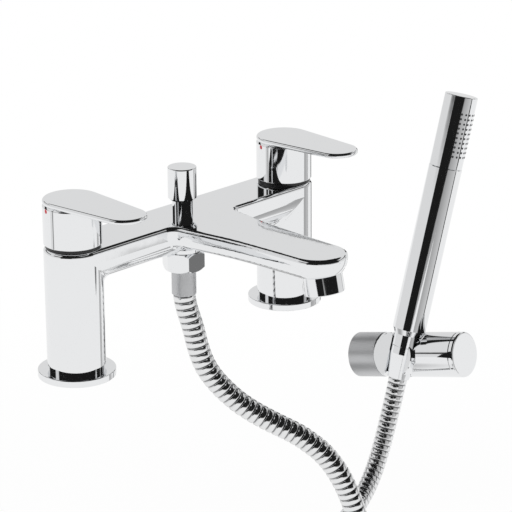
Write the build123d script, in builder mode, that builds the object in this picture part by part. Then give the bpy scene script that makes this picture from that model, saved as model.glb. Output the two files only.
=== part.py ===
from build123d import *
from math import asin, cos, degrees, pi, radians, sin, sqrt, tan
import os

os.makedirs("parts", exist_ok=True)

# Bath shower mixer: two pillars and a bridge with a flat top, a spout, two quarter-turn
# levers, a lift-up diverter, a ribbed hose, a stick handset and its swivelling wall holder.
# Millimetres, +Z up. The origin is on the deck, halfway between the two inlets.
# X runs along the bridge from the near pillar (-X) to the far one, and the spout points to -Y.

# Driving sizes of the mixer
inlet_centres = 180.0
pillar_diameter = 35.3
body_top = 81.0
bridge_depth = 22.1
bridge_belly = 14.0
spout_reach = 113.0
spout_nose_diameter = 35.0
spout_depth = 16.0
spout_belly = 13.0
spout_root_width = 49.0
spout_waist_width = 40.8
spout_neck_width = 36.8
top_edge = 2.4
spout_corner = 6.0
cut_overrun = 2.0

# Base flanges
flange_diameter = 47.0
flange_thickness = 4.3
flange_edge = 0.5
flange_collar_diameter = 33.6
flange_collar_height = 3.4
flange_hole_diameter = 27.4
gasket_thickness = 1.2
gasket_diameter = 43.0

# Waterways inside the body
inlet_thread_diameter = 24.12
inlet_thread_depth = 15.0
riser_diameter = 20.0
seat_port_diameter = 11.0
seat_level = 54.0
pocket_floor = 58.0
pocket_diameter = 19.6
channel_diameter = 8.0
channel_level = 71.4
diverter_bore_diameter = 11.8
diverter_seat_level = 66.6
outlet_thread_diameter = 18.0
outlet_thread_depth = 6.6
outlet_port_diameter = 9.0

# Valve cartridges
cartridge_thread_diameter = 19.4
cartridge_shoulder_diameter = 23.0
cartridge_shoulder_height = 3.0
cartridge_neck_diameter = 17.0
cartridge_neck_top = 95.0
cartridge_window_width = 7.0
cartridge_window_height = 5.0
spindle_diameter = 8.0
spindle_flange_diameter = 12.0
spindle_flange_height = 2.0
spindle_top = 106.0
spindle_flat = 0.8
disc_diameter = 14.0
disc_thickness = 2.4
disc_bore_diameter = 16.4
seat_seal_diameter = 16.0
seat_seal_height = 3.4
glide_ring_diameter = 33.0
glide_ring_height = 1.7
fit_gap = 0.05
rest_gap = 0.3

# Levers
handle_diameter = 35.0
handle_bottom = 83.0
handle_top = 110.7
lever_back_diameter = 34.8
lever_tip_diameter = 26.4
lever_reach = 45.2
plate_thickness = 3.0
plate_edge = 0.4
plate_bevel = 1.4
handle_shoulder = 1.2
handle_wall = 2.6
hub_diameter = 14.0
hub_bottom = 96.0
socket_depth = 10.6
grub_diameter = 4.0
grub_length = 4.6
dot_diameter = 2.8
dot_thickness = 1.0
dot_level = 105.2
dot_angle = 168.0

# Diverter
knob_diameter = 17.8
knob_bottom = 89.1
knob_top = 109.7
knob_edge = 0.6
knob_bevel = 1.2
knob_socket_diameter = 13.6
knob_socket_depth = 6.0
bonnet_diameter = 12.8
bonnet_top = 94.5
bonnet_bottom = 76.6
bonnet_pocket_diameter = 9.4
bonnet_lip = 2.1
stem_diameter = 5.0
stem_thread_depth = 12.0
stem_collar_diameter = 8.6
stem_collar_height = 1.6
stem_spigot_diameter = 3.4
valve_washer_diameter = 11.0
valve_washer_height = 2.0
spring_diameter = 8.8
spring_wire = 0.9
spring_turns = 5

# Shower outlet, its nut and ferrule
outlet_male_diameter = 20.6
outlet_bore_diameter = 10.0
outlet_collar_diameter = 22.0
outlet_collar_height = 2.4
nut_across_flats = 23.4
nut_top = 56.2
nut_bottom = 44.4
nut_bore_diameter = 20.8
nut_lip = 1.0
nut_lip_hole_diameter = 13.0
hose_washer_diameter = 19.0
hose_washer_height = 2.0
tail_flange_height = 1.2
tail_tube_diameter = 10.0
tail_bore_diameter = 7.0
ferrule_diameter = 15.3
ferrule_top = 44.0
ferrule_bottom = 27.7
ferrule_edge = 0.5

# Aerator at the nose of the spout
aerator_diameter = 24.0
aerator_forward = 5.5
aerator_tilt = 12.0
aerator_face_level = 57.0
aerator_collar_height = 11.6
aerator_seal_height = 1.4
aerator_spigot_diameter = 21.0
aerator_spigot_height = 3.9
aerator_socket_depth = 19.0
aerator_bore_diameter = 19.0
aerator_way_diameter = 13.0
aerator_edge = 0.5
insert_recess = 0.7
insert_height = 9.0
insert_hole_diameter = 2.2
insert_ring_pitch = 3.4
insert_ring_count = 6

# Where the wall holder stands, and which way its axis points
wall_point = (326.8, 144.4, -143.6)
wall_turn = 7.6
wall_rise = 12.5
holder_swing = 14.5

# Wall holder: plate and sleeve on the wall, turning holder with its socket, end cap
bar_diameter = 34.0
bar_length = 95.4
base_length = 24.0
base_edge = 0.5
base_wall = 3.0
base_front = 5.0
wall_plate_thickness = 8.0
wall_screw_hole_diameter = 4.6
wall_screw_head_diameter = 8.4
wall_screw_head_height = 2.8
wall_screw_spacing = 16.0
sleeve_screw_diameter = 3.0
sleeve_screw_level = 4.5
glide_washer_height = 0.8
glide_washer_diameter = 30.0
axle_diameter = 12.0
clamp_washer_diameter = 20.0
clamp_washer_height = 1.4
axle_screw_diameter = 5.0
axle_screw_depth = 12.0
axle_screw_head_diameter = 17.0
axle_screw_head_height = 3.0
boss_diameter = 35.0
boss_level = 43.0
boss_face = 20.0
boss_edge = 0.6
cap_visible = 4.1
cap_edge = 1.4
cap_groove = 0.4
cap_plug_diameter = 28.0
cap_plug_length = 7.0
front_bore_depth = 24.0

# Handset, measured along its own axis from the point abreast of the holder's axis
handset_offset = 12.8
handset_lean = 17.0
handset_foot = 48.3
handset_diameter = 25.0
head_diameter = 24.6
barrel_foot = 16.6
barrel_foot_diameter = 20.8
barrel_start = 21.0
head_start = 146.4
handset_end = 201.0
head_wall = 1.4
barrel_wall = 1.5
joint_groove = 0.4
head_spigot_length = 9.0
head_seal_height = 1.5
inlet_collar_diameter = 20.4
inlet_neck_diameter = 16.0
inlet_plug_length = 10.0
inlet_male_diameter = 15.6
inlet_male_length = 9.0
inlet_way_diameter = 9.0
cone_start = 7.4
cone_shoulder = 1.6
cone_end = -17.4
cone_top_diameter = 20.0
cone_tip_diameter = 16.6
cone_bore_diameter = 15.7
cone_washer_height = 1.6
socket_foot = -15.2
socket_foot_diameter = 22.4
socket_clearance = 0.35
mouth_diameter = 22.0
mouth_flare_start = 12.5
mouth_flare_diameter = 26.0
slot_width = 16.8
end_cap_height = 2.4
end_cap_edge = 0.7
end_plug_length = 5.0
nozzle_rows = 10
nozzle_columns = 6
nozzle_row_pitch = 3.56
nozzle_column_angle = 16.2
nozzle_first = 156.1
nozzle_hole_diameter = 1.7
nozzle_diameter = 1.3
nozzle_stand = 0.2
liner_wall = 1.2
liner_margin = 3.0

# Hose
hose_diameter = 14.0
hose_bore_diameter = 8.5
rib_pitch = 4.4
rib_depth = 1.0
rib_crest_share = 0.56
rib_flank_share = 0.12
outlet_rib_count = 40
handset_rib_count = 20
coil_radius = 69.0
coil_start_angle = 155.0
coil_pitch = 14.6
coil_half_turns = 4
coil_last_angle = 42.0
coil_sample_count = 360
first_run = 22.0
last_run = 52.0
outlet_route = [
    (0, 0, 2.2),
    (7, -7.2, -22),
    (18, -18.5, -43.5),
    (42, -43, -63),
    (62.7, -64.5, -83),
    (75.3, -77.4, -115),
    (79.5, -82, -155),
    (80.5, -83.5, -203),
    (89.6, -64, -240.5),
    (105.3, -30.2, -262),
    (122.2, 6, -262),
]
handset_route = [
    (236, 82, -238),
    (277, 94, -228),
]


def save(part, name):
    part.label = name
    export_step(part, f"parts/{name}.step")


def profile_plane(plane):
    """Radius across, height along the plane's normal."""
    return Plane(origin=plane.origin, x_dir=plane.x_dir, z_dir=-plane.y_dir)


def axis_of(plane):
    return Axis(plane.origin, plane.z_dir)


# Base flanges and their gaskets, one at each pillar
pillar_foot = flange_thickness + flange_collar_height
for side, name in ((-1, "near"), (1, "far")):
    pillar_x = side * inlet_centres / 2

    with BuildPart() as base_flange:
        with BuildSketch(Plane.XY):
            with Locations((pillar_x, 0)):
                Circle(flange_diameter / 2)
        extrude(amount=flange_thickness)
        fillet(base_flange.edges().filter_by(GeomType.CIRCLE), flange_edge)
        with BuildSketch(Plane.XY):
            with Locations((pillar_x, 0)):
                Circle(flange_collar_diameter / 2)
        extrude(amount=pillar_foot)
        with BuildSketch(Plane.XY):
            with Locations((pillar_x, 0)):
                Circle(flange_hole_diameter / 2)
        extrude(amount=pillar_foot, mode=Mode.SUBTRACT)
        with BuildSketch(Plane.XY):
            with Locations((pillar_x, 0)):
                Circle(gasket_diameter / 2)
        extrude(amount=gasket_thickness, mode=Mode.SUBTRACT)
    save(base_flange.part, f"base_flange_{name}")

    with BuildPart() as base_gasket:
        with BuildSketch(Plane.XY):
            with Locations((pillar_x, 0)):
                Circle(gasket_diameter / 2)
                Circle(flange_hole_diameter / 2, mode=Mode.SUBTRACT)
        extrude(amount=gasket_thickness)
    save(base_gasket.part, f"base_gasket_{name}")

# Mixer body: bridge and pillars share one radius, so their sides run into each other
bridge_under = body_top - bridge_depth
spout_under = body_top - spout_depth
nose_radius = spout_nose_diameter / 2
root_half = spout_root_width / 2
waist_half = spout_waist_width / 2
neck_half = spout_neck_width / 2
root_share = 0.22
waist_share = 0.48
neck_share = 0.75
root_taper = 1.0
outlet_axis = Plane.XY.offset(bridge_under)
aerator_reach = spout_reach + aerator_forward
aerator_plane = Plane(
    origin=(0, -aerator_reach, aerator_face_level),
    x_dir=(1, 0, 0),
    z_dir=(0, sin(radians(aerator_tilt)), cos(radians(aerator_tilt))),
)

with BuildPart() as spout:
    with BuildSketch(Plane.XY.offset(spout_under)):
        with BuildLine():
            for side in (-1, 1):
                Spline(
                    (side * (root_half + root_taper), 0),
                    (side * root_half, -root_share * spout_reach),
                    (side * waist_half, -waist_share * spout_reach),
                    (side * neck_half, -neck_share * spout_reach),
                    (side * nose_radius, -spout_reach),
                )
            CenterArc((0, -spout_reach), nose_radius, 180, 180)
            Line((-root_half - root_taper, 0), (root_half + root_taper, 0))
        make_face()
    extrude(amount=spout_depth)
    under = spout.faces().sort_by(Axis.Z)[0]
    fillet(under.edges().sort_by(Axis.Y)[:-1], spout_belly)

with BuildPart() as mixer_body:
    with BuildSketch(Plane.XY.offset(bridge_under)):
        SlotCenterToCenter(inlet_centres, pillar_diameter)
    extrude(amount=bridge_depth)
    fillet(mixer_body.faces().sort_by(Axis.Z)[0].edges(), bridge_belly)
    with BuildSketch(Plane.XY.offset(pillar_foot)):
        with GridLocations(inlet_centres, 0, 2, 1):
            Circle(pillar_diameter / 2)
    extrude(amount=body_top - pillar_foot)
    add(spout.part)
    front = -pillar_diameter / 2
    corner_box = [
        e
        for e in mixer_body.edges()
        if front - fit_gap < e.center().Y < front + spout_corner
        and abs(e.center().X) < root_half + root_taper
        and bridge_under + top_edge < e.center().Z < body_top - fit_gap
    ]
    fillet(corner_box, spout_corner)
    top_face = mixer_body.faces().filter_by(Plane.XY).sort_by(Axis.Z)[-1]
    fillet(top_face.outer_wire().edges(), top_edge)
    # Each pillar: inlet thread, riser, seat port and cartridge pocket
    with BuildSketch(Plane.XY.offset(pillar_foot)):
        with GridLocations(inlet_centres, 0, 2, 1):
            Circle(inlet_thread_diameter / 2)
    extrude(amount=inlet_thread_depth, mode=Mode.SUBTRACT)
    with BuildSketch(Plane.XY.offset(pillar_foot)):
        with GridLocations(inlet_centres, 0, 2, 1):
            Circle(riser_diameter / 2)
    extrude(amount=seat_level - pillar_foot, mode=Mode.SUBTRACT)
    with BuildSketch(Plane.XY.offset(seat_level)):
        with GridLocations(inlet_centres, 0, 2, 1):
            Circle(seat_port_diameter / 2)
    extrude(amount=bridge_depth, mode=Mode.SUBTRACT)
    with BuildSketch(Plane.XY.offset(pocket_floor)):
        with GridLocations(inlet_centres, 0, 2, 1):
            Circle(pocket_diameter / 2)
    extrude(amount=body_top - pocket_floor, mode=Mode.SUBTRACT)
    # Cross channel from pocket to pocket, and the one along the spout
    with BuildSketch(Plane.YZ.offset(-inlet_centres / 2)):
        with Locations((0, channel_level)):
            Circle(channel_diameter / 2)
    extrude(amount=inlet_centres, mode=Mode.SUBTRACT)
    with BuildSketch(Plane.XZ):
        with Locations((0, channel_level)):
            Circle(channel_diameter / 2)
    extrude(amount=aerator_reach, mode=Mode.SUBTRACT)
    # Diverter chamber from the top, outlet thread from below
    with BuildSketch(Plane.XY.offset(diverter_seat_level)):
        Circle(diverter_bore_diameter / 2)
    extrude(amount=body_top - diverter_seat_level, mode=Mode.SUBTRACT)
    with BuildSketch(outlet_axis):
        Circle(outlet_port_diameter / 2)
    extrude(amount=diverter_seat_level - bridge_under, mode=Mode.SUBTRACT)
    with BuildSketch(outlet_axis):
        Circle(outlet_thread_diameter / 2)
    extrude(amount=outlet_thread_depth, mode=Mode.SUBTRACT)
    # Aerator socket, square to the tilted stream
    with BuildSketch(aerator_plane):
        Circle(aerator_spigot_diameter / 2)
    extrude(amount=aerator_socket_depth, mode=Mode.SUBTRACT)
    with BuildSketch(aerator_plane.offset(-aerator_collar_height)):
        Circle(aerator_diameter / 2)
    extrude(amount=2 * aerator_collar_height + aerator_seal_height, mode=Mode.SUBTRACT)
save(mixer_body.part, "mixer_body")

# Valve cartridges: seat seal, fixed and turning discs, housing, spindle and glide ring
seal_top = pocket_floor + seat_seal_height
fixed_disc_top = seal_top + disc_thickness
turning_disc_top = fixed_disc_top + disc_thickness
window_sill = fixed_disc_top - cartridge_window_height / 2
spindle_seat = turning_disc_top + spindle_flange_height
port_offset = disc_diameter / 4
port_radius = disc_diameter / 7
for side, name in ((-1, "near"), (1, "far")):
    pillar_x = side * inlet_centres / 2

    with BuildPart() as seat_seal:
        with BuildSketch(Plane.XY.offset(pocket_floor)):
            with Locations((pillar_x, 0)):
                Circle(seat_seal_diameter / 2)
                Circle(seat_port_diameter / 2, mode=Mode.SUBTRACT)
        extrude(amount=seat_seal_height)
    save(seat_seal.part, f"seat_seal_{name}")

    with BuildPart() as fixed_disc:
        with BuildSketch(Plane.XY.offset(seal_top)):
            with Locations((pillar_x, 0)):
                Circle(disc_diameter / 2)
            with Locations((pillar_x - port_offset, 0), (pillar_x + port_offset, 0)):
                Circle(port_radius, mode=Mode.SUBTRACT)
        extrude(amount=disc_thickness)
    save(fixed_disc.part, f"fixed_disc_{name}")

    with BuildPart() as turning_disc:
        with BuildSketch(Plane.XY.offset(fixed_disc_top)):
            with Locations((pillar_x, 0)):
                Circle(disc_diameter / 2)
            with Locations((pillar_x, -port_offset), (pillar_x, port_offset)):
                Circle(port_radius, mode=Mode.SUBTRACT)
        extrude(amount=disc_thickness)
    save(turning_disc.part, f"turning_disc_{name}")

    with BuildPart() as cartridge:
        with BuildSketch(Plane.XY.offset(seal_top)):
            with Locations((pillar_x, 0)):
                Circle(cartridge_thread_diameter / 2)
        extrude(amount=body_top - seal_top)
        with BuildSketch(Plane.XY.offset(body_top)):
            with Locations((pillar_x, 0)):
                RegularPolygon(cartridge_shoulder_diameter / 2, 6)
        extrude(amount=cartridge_shoulder_height)
        with BuildSketch(Plane.XY.offset(body_top)):
            with Locations((pillar_x, 0)):
                Circle(cartridge_neck_diameter / 2)
        extrude(amount=cartridge_neck_top - body_top)
        with BuildSketch(Plane.XY.offset(seal_top)):
            with Locations((pillar_x, 0)):
                Circle(disc_bore_diameter / 2)
        extrude(amount=spindle_seat + rest_gap - seal_top, mode=Mode.SUBTRACT)
        with BuildSketch(Plane.XY.offset(seal_top)):
            with Locations((pillar_x, 0)):
                Circle(spindle_diameter / 2 + fit_gap)
        extrude(amount=cartridge_neck_top - seal_top, mode=Mode.SUBTRACT)
        with BuildSketch(Plane.XY.offset(window_sill)):
            with Locations((pillar_x, 0)):
                Rectangle(pocket_diameter + cut_overrun, cartridge_window_width)
        extrude(amount=cartridge_window_height, mode=Mode.SUBTRACT)
    save(cartridge.part, f"cartridge_{name}")

    with BuildPart() as spindle:
        with BuildSketch(Plane.XY.offset(turning_disc_top)):
            with Locations((pillar_x, 0)):
                Circle(spindle_flange_diameter / 2)
        extrude(amount=spindle_flange_height)
        with BuildSketch(Plane.XY.offset(turning_disc_top)):
            with Locations((pillar_x, 0)):
                Circle(spindle_diameter / 2)
        extrude(amount=spindle_top - turning_disc_top)
        with BuildSketch(Plane.XY.offset(hub_bottom)):
            with Locations((pillar_x - spindle_diameter / 2, 0)):
                Rectangle(2 * spindle_flat, spindle_diameter)
        extrude(amount=spindle_top - hub_bottom, mode=Mode.SUBTRACT)
    save(spindle.part, f"spindle_{name}")

    with BuildPart() as glide_ring:
        with BuildSketch(Plane.XY.offset(body_top)):
            with Locations((pillar_x, 0)):
                Circle(glide_ring_diameter / 2)
                Circle(cartridge_shoulder_diameter / 2 + rest_gap, mode=Mode.SUBTRACT)
        extrude(amount=glide_ring_height)
    save(glide_ring.part, f"glide_ring_{name}")

# Levers: a hollow drum under a flat plate that reaches out over the spout side
back_radius = lever_back_diameter / 2
tip_radius = lever_tip_diameter / 2
plate_under = handle_top - plate_thickness
taper = asin((back_radius - tip_radius) / lever_reach)
taper_degrees = degrees(taper)
handle_radius = handle_diameter / 2
bore_radius = handle_radius - handle_wall
screw_angle = radians(dot_angle)
screw_dir = (cos(screw_angle), sin(screw_angle), 0)
dot_floor = handle_radius - dot_thickness
for side, name in ((-1, "near"), (1, "far")):
    pillar_x = side * inlet_centres / 2
    radial = Plane(origin=(pillar_x, 0, dot_level), x_dir=(0, 0, 1), z_dir=screw_dir)

    with BuildPart() as plate:
        with BuildSketch(Plane.XY.offset(plate_under)):
            with BuildLine():
                right_back = (
                    pillar_x + back_radius * cos(taper),
                    -back_radius * sin(taper),
                )
                right_tip = (
                    pillar_x + tip_radius * cos(taper),
                    -lever_reach - tip_radius * sin(taper),
                )
                left_back = (2 * pillar_x - right_back[0], right_back[1])
                left_tip = (2 * pillar_x - right_tip[0], right_tip[1])
                CenterArc((pillar_x, 0), back_radius, -taper_degrees, 180 + 2 * taper_degrees)
                Line(left_back, left_tip)
                CenterArc(
                    (pillar_x, -lever_reach),
                    tip_radius,
                    180 + taper_degrees,
                    180 - 2 * taper_degrees,
                )
                Line(right_tip, right_back)
            make_face()
        extrude(amount=plate_thickness)
        chamfer(plate.faces().sort_by(Axis.Z)[0].edges(), plate_bevel)
        fillet(plate.faces().sort_by(Axis.Z)[-1].edges(), plate_edge)

    with BuildPart() as lever:
        with BuildSketch(Plane.XY.offset(handle_bottom)):
            with Locations((pillar_x, 0)):
                Circle(handle_radius)
        extrude(amount=plate_under - handle_bottom)
        chamfer(lever.faces().sort_by(Axis.Z)[-1].edges(), handle_shoulder)
        add(plate.part)
        with BuildSketch(Plane.XY.offset(handle_bottom)):
            with Locations((pillar_x, 0)):
                Circle(bore_radius)
        extrude(amount=plate_under - handle_wall - handle_bottom, mode=Mode.SUBTRACT)
        with BuildSketch(Plane.XY.offset(hub_bottom)):
            with Locations((pillar_x, 0)):
                Circle(hub_diameter / 2)
        extrude(amount=plate_under - hub_bottom)
        with BuildSketch(Plane.XY.offset(hub_bottom)):
            with Locations((pillar_x, 0)):
                Circle(spindle_diameter / 2 + fit_gap)
        extrude(amount=socket_depth, mode=Mode.SUBTRACT)
        with BuildSketch(radial):
            Circle(grub_diameter / 2 + fit_gap)
        extrude(amount=dot_floor, mode=Mode.SUBTRACT)
        with BuildSketch(radial.offset(dot_floor - dot_thickness)):
            Circle(dot_diameter / 2 + fit_gap)
        extrude(amount=handle_diameter, mode=Mode.SUBTRACT)
    save(lever.part, f"lever_{name}")

    with BuildPart() as grub_screw:
        with BuildSketch(radial.offset(spindle_diameter / 2 + fit_gap)):
            Circle(grub_diameter / 2)
            RegularPolygon(grub_diameter / 4, 6, mode=Mode.SUBTRACT)
        extrude(amount=grub_length)
    save(grub_screw.part, f"grub_screw_{name}")

    with BuildPart() as index_dot:
        with BuildSketch(radial.offset(dot_floor - dot_thickness)):
            Circle(dot_diameter / 2)
        extrude(amount=2 * dot_thickness + fit_gap)
    save(index_dot.part, f"index_dot_{name}")

# Diverter: a knob on a stem that slides through a screwed bonnet and lifts a washer off
# the hose port; a spring pushes it back down onto the seat
stem_radius = stem_diameter / 2
washer_top = diverter_seat_level + valve_washer_height
collar_top = washer_top + stem_collar_height
socket_top = knob_bottom + knob_socket_depth
stem_tip = socket_top + stem_thread_depth - rest_gap
lip_level = bonnet_top - bonnet_lip

with BuildPart() as diverter_knob:
    with BuildSketch(Plane.XY.offset(knob_bottom)):
        Circle(knob_diameter / 2)
    extrude(amount=knob_top - knob_bottom)
    fillet(diverter_knob.faces().sort_by(Axis.Z)[-1].edges(), knob_edge)
    chamfer(diverter_knob.faces().sort_by(Axis.Z)[0].edges(), knob_bevel)
    with BuildSketch(Plane.XY.offset(knob_bottom)):
        Circle(knob_socket_diameter / 2)
    extrude(amount=knob_socket_depth, mode=Mode.SUBTRACT)
    with BuildSketch(Plane.XY.offset(socket_top)):
        Circle(stem_radius)
    extrude(amount=stem_thread_depth, mode=Mode.SUBTRACT)
save(diverter_knob.part, "diverter_knob")

with BuildPart() as diverter_stem:
    with BuildSketch(Plane.XY.offset(diverter_seat_level)):
        Circle(stem_spigot_diameter / 2)
    extrude(amount=valve_washer_height)
    with BuildSketch(Plane.XY.offset(washer_top)):
        Circle(stem_collar_diameter / 2)
    extrude(amount=stem_collar_height)
    with BuildSketch(Plane.XY.offset(washer_top)):
        Circle(stem_radius)
    extrude(amount=stem_tip - washer_top)
save(diverter_stem.part, "diverter_stem")

with BuildPart() as diverter_washer:
    with BuildSketch(Plane.XY.offset(diverter_seat_level)):
        Circle(valve_washer_diameter / 2)
        Circle(stem_spigot_diameter / 2, mode=Mode.SUBTRACT)
    extrude(amount=valve_washer_height)
save(diverter_washer.part, "diverter_washer")

with BuildPart() as diverter_bonnet:
    with BuildSketch(Plane.XZ):
        with BuildLine():
            Polyline(
                (bonnet_pocket_diameter / 2, bonnet_bottom),
                (diverter_bore_diameter / 2, bonnet_bottom),
                (diverter_bore_diameter / 2, body_top),
                (bonnet_diameter / 2, body_top),
                (bonnet_diameter / 2, bonnet_top),
                (stem_radius + fit_gap, bonnet_top),
                (stem_radius + fit_gap, lip_level),
                (bonnet_pocket_diameter / 2, lip_level),
                close=True,
            )
        make_face()
    revolve(axis=Axis.Z)
save(diverter_bonnet.part, "diverter_bonnet")

spring_length = lip_level - collar_top
spring_radius = (spring_diameter - spring_wire) / 2
with BuildPart() as diverter_spring:
    with BuildLine() as spring_line:
        Helix(
            pitch=(spring_length - spring_wire) / spring_turns,
            height=spring_length - spring_wire,
            radius=spring_radius,
            center=(0, 0, collar_top + spring_wire / 2),
        )
    with BuildSketch(Plane(spring_line.line @ 0, z_dir=spring_line.line % 0)):
        RegularPolygon(spring_wire / 2, 6)
    sweep(path=spring_line.line, is_frenet=True)
save(diverter_spring.part, "diverter_spring")

# Shower outlet: nipple in the body, hexagon nut, washer, hose tail and crimped ferrule
tail_seat = nut_bottom + nut_lip
tail_top = tail_seat + tail_flange_height
nipple_bottom = tail_top + hose_washer_height
with BuildPart() as outlet_nipple:
    with BuildSketch(Plane.XZ):
        with BuildLine():
            Polyline(
                (outlet_bore_diameter / 2, nipple_bottom),
                (outlet_male_diameter / 2, nipple_bottom),
                (outlet_male_diameter / 2, bridge_under - outlet_collar_height),
                (outlet_collar_diameter / 2, bridge_under - outlet_collar_height),
                (outlet_collar_diameter / 2, bridge_under),
                (outlet_thread_diameter / 2, bridge_under),
                (outlet_thread_diameter / 2, bridge_under + outlet_thread_depth),
                (outlet_bore_diameter / 2, bridge_under + outlet_thread_depth),
                close=True,
            )
        make_face()
    revolve(axis=Axis.Z)
save(outlet_nipple.part, "outlet_nipple")

nut_corner = nut_across_flats / sqrt(3)
nut_flat = nut_across_flats / 2
nut_dome = nut_corner - nut_flat
with BuildPart() as outlet_nut:
    with BuildSketch(Plane.XY.offset(nut_bottom)):
        RegularPolygon(nut_flat, 6, major_radius=False)
    extrude(amount=nut_top - nut_bottom)
    with BuildSketch(Plane.XZ):
        with BuildLine():
            Polyline(
                (0, nut_bottom),
                (nut_flat, nut_bottom),
                (nut_corner, nut_bottom + nut_dome),
                (nut_corner, nut_top - nut_dome),
                (nut_flat, nut_top),
                (0, nut_top),
                close=True,
            )
        make_face()
    revolve(axis=Axis.Z, mode=Mode.INTERSECT)
    with BuildSketch(Plane.XY.offset(tail_seat)):
        Circle(nut_bore_diameter / 2)
    extrude(amount=nut_top - tail_seat, mode=Mode.SUBTRACT)
    with BuildSketch(Plane.XY.offset(nut_bottom)):
        Circle(nut_lip_hole_diameter / 2)
    extrude(amount=nut_lip, mode=Mode.SUBTRACT)
save(outlet_nut.part, "outlet_nut")

with BuildPart() as hose_washer:
    with BuildSketch(Plane.XY.offset(tail_top)):
        Circle(hose_washer_diameter / 2)
        Circle(outlet_bore_diameter / 2, mode=Mode.SUBTRACT)
    extrude(amount=hose_washer_height)
save(hose_washer.part, "hose_washer")

with BuildPart() as hose_tail:
    with BuildSketch(Plane.XY.offset(ferrule_bottom)):
        Circle(tail_tube_diameter / 2)
    extrude(amount=tail_top - ferrule_bottom)
    with BuildSketch(Plane.XY.offset(tail_seat)):
        Circle(hose_washer_diameter / 2)
    extrude(amount=tail_flange_height)
    with BuildSketch(Plane.XY.offset(ferrule_bottom)):
        Circle(tail_bore_diameter / 2)
    extrude(amount=tail_top - ferrule_bottom, mode=Mode.SUBTRACT)
save(hose_tail.part, "hose_tail")

with BuildPart() as hose_ferrule:
    with BuildSketch(Plane.XY.offset(ferrule_bottom)):
        Circle(ferrule_diameter / 2)
    extrude(amount=ferrule_top - ferrule_bottom)
    fillet(hose_ferrule.edges(), ferrule_edge)
    with BuildSketch(Plane.XY.offset(ferrule_bottom)):
        Circle(tail_tube_diameter / 2)
    extrude(amount=ferrule_top - ferrule_bottom, mode=Mode.SUBTRACT)
save(hose_ferrule.part, "hose_ferrule")

# Aerator: screwed housing, sealing ring on its shoulder and a perforated flow insert
insert_top = insert_recess + insert_height
spigot_top = aerator_collar_height + aerator_spigot_height
with BuildPart() as aerator_housing:
    with BuildSketch(aerator_plane):
        Circle(aerator_diameter / 2)
    extrude(amount=aerator_collar_height)
    fillet(aerator_housing.edges().sort_by(Axis.Z)[0], aerator_edge)
    with BuildSketch(aerator_plane):
        Circle(aerator_spigot_diameter / 2)
    extrude(amount=spigot_top)
    with BuildSketch(aerator_plane):
        Circle(aerator_bore_diameter / 2)
    extrude(amount=insert_top, mode=Mode.SUBTRACT)
    with BuildSketch(aerator_plane):
        Circle(aerator_way_diameter / 2)
    extrude(amount=spigot_top, mode=Mode.SUBTRACT)
save(aerator_housing.part, "aerator_housing")

with BuildPart() as aerator_seal:
    with BuildSketch(aerator_plane.offset(aerator_collar_height)):
        Circle(aerator_diameter / 2)
        Circle(aerator_spigot_diameter / 2, mode=Mode.SUBTRACT)
    extrude(amount=aerator_seal_height)
save(aerator_seal.part, "aerator_seal")

with BuildPart() as aerator_insert:
    with BuildSketch(aerator_plane.offset(insert_recess)):
        Circle(aerator_bore_diameter / 2)
        Circle(insert_hole_diameter / 2, mode=Mode.SUBTRACT)
        for ring in (1, 2):
            with PolarLocations(ring * insert_ring_pitch, ring * insert_ring_count):
                Circle(insert_hole_diameter / 2, mode=Mode.SUBTRACT)
    extrude(amount=insert_height)
save(aerator_insert.part, "aerator_insert")

# Wall holder frame: out of the wall, turned and raised; the turning half is swung about it
turn = radians(wall_turn)
rise = radians(wall_rise)
wall_plane = Plane(
    origin=wall_point,
    x_dir=(cos(turn), sin(turn), 0),
    z_dir=(sin(turn) * cos(rise), -cos(turn) * cos(rise), sin(rise)),
)
swing = radians(holder_swing)
holder_plane = Plane(
    origin=wall_point,
    x_dir=wall_plane.x_dir * cos(swing) - wall_plane.y_dir * sin(swing),
    z_dir=wall_plane.z_dir,
)
lean = radians(handset_lean)
handset_plane = Plane(
    origin=holder_plane.from_local_coords(Vector(-handset_offset, 0, handset_foot)),
    x_dir=holder_plane.x_dir,
    z_dir=holder_plane.y_dir * cos(lean) + holder_plane.z_dir * sin(lean),
)
bar_radius = bar_diameter / 2
axle_radius = axle_diameter / 2
axle_end = base_length - base_front - clamp_washer_height
sleeve_bore = bar_radius - base_wall

# Wall plate with two countersunk screw holes, and the sleeve that slips over it
with BuildPart() as wall_plate:
    with BuildSketch(wall_plane):
        Circle(sleeve_bore - rest_gap)
    extrude(amount=wall_plate_thickness)
    with Locations(wall_plane.offset(wall_plate_thickness)):
        with GridLocations(wall_screw_spacing, 0, 2, 1):
            CounterBoreHole(
                wall_screw_hole_diameter / 2,
                wall_screw_head_diameter / 2,
                wall_screw_head_height,
                depth=wall_plate_thickness,
            )
save(wall_plate.part, "wall_plate")

sleeve_screw_plane = Plane(
    origin=(wall_plane.origin + wall_plane.z_dir * sleeve_screw_level),
    x_dir=wall_plane.x_dir,
    z_dir=-wall_plane.y_dir,
)
with BuildPart() as wall_base:
    with BuildSketch(profile_plane(wall_plane)):
        with BuildLine():
            Polyline(
                (sleeve_bore, 0),
                (bar_radius, 0),
                (bar_radius, base_length - base_edge),
                (bar_radius - base_edge, base_length),
                (axle_radius + fit_gap, base_length),
                (axle_radius + fit_gap, base_length - base_front),
                (sleeve_bore, base_length - base_front),
                close=True,
            )
        make_face()
    revolve(axis=axis_of(wall_plane))
    with BuildSketch(sleeve_screw_plane):
        Circle(sleeve_screw_diameter / 2)
    extrude(amount=bar_diameter, mode=Mode.SUBTRACT)
save(wall_base.part, "wall_base")

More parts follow.
